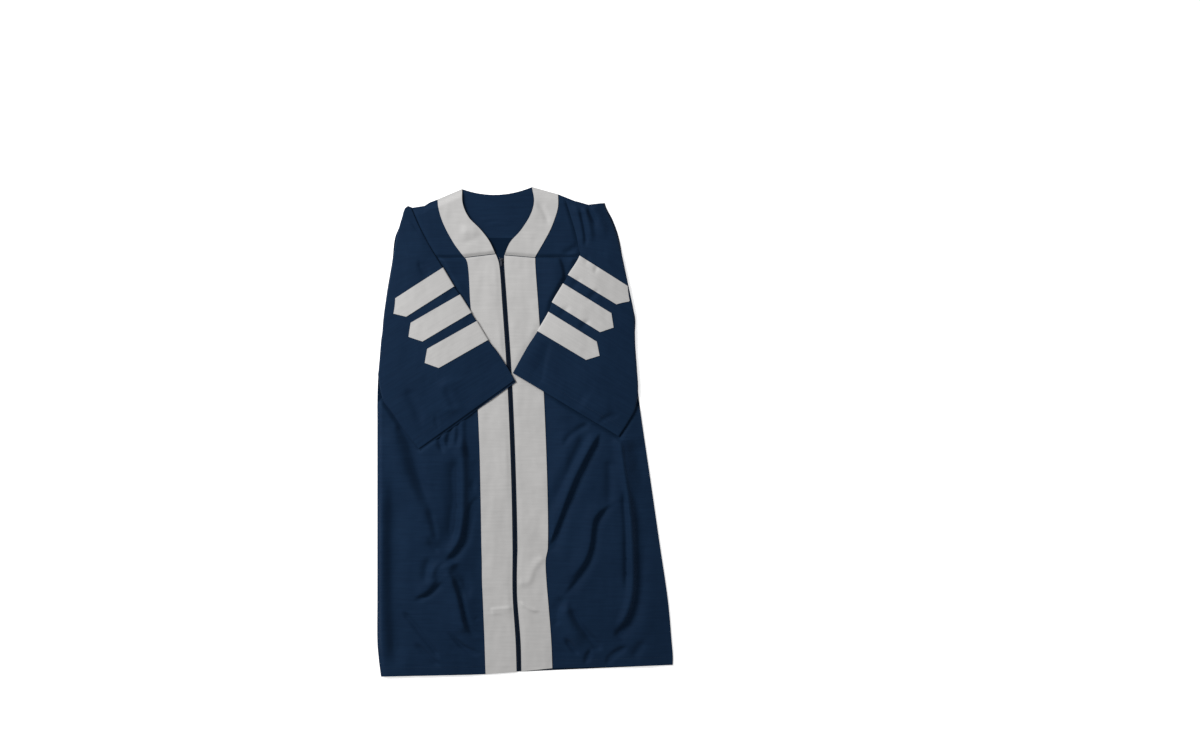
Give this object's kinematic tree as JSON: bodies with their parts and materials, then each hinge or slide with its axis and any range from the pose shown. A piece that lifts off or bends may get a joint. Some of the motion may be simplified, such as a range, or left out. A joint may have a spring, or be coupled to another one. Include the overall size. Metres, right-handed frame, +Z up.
{
  "type": "graduation gown",
  "caption": "Navy academic gown laid flat, face up, with a front zip, white front bands and bell sleeves with pointed white bars folded over onto the front.",
  "frame": {"origin": "middle of the gown's box, on the surface that its back rests on", "axes": "+Y from the hem to the neck, +X to the wearer's left, +Z up out of the front"},
  "size_m": [0.7922, 1.3114, 0.0185],
  "materials": {
    "navy_cloth": "matt woven polyester with a faint crosswise rib",
    "white_cloth": "smooth off-white satin-weave cloth",
    "zip_tape": "woven navy tape",
    "zip_coil": "moulded navy coil",
    "zip_metal": "dark navy lacquer"
  },
  "bodies": {
    "gown": {"back_body": "navy_cloth", "back_yoke": "navy_cloth", "front_right": "navy_cloth", "front_left": "navy_cloth", "front_yoke_right": "navy_cloth", "front_yoke_left": "navy_cloth", "sleeve_right": "navy_cloth", "sleeve_left": "navy_cloth", "band_right": "white_cloth", "band_left": "white_cloth", "band_yoke_right": "white_cloth", "band_yoke_left": "white_cloth", "bar_right_1": "white_cloth", "bar_right_2": "white_cloth", "bar_right_3": "white_cloth", "bar_left_1": "white_cloth", "bar_left_2": "white_cloth", "bar_left_3": "white_cloth", "zip_tape_right": "zip_tape", "zip_tape_left": "zip_tape", "zip_coil": "zip_coil", "zip_slider": "zip_metal"},
    "pull_tab": {"zip_pull": "zip_metal"}
  },
  "joints": [
    {"name": "pull_flip", "type": "hinge", "parent": "gown", "child": "pull_tab", "pos_m": [-0.06424, 0.46025, 0.0067], "axis": [-1, 0, 0], "range_deg": [0, 165]}
  ]
}
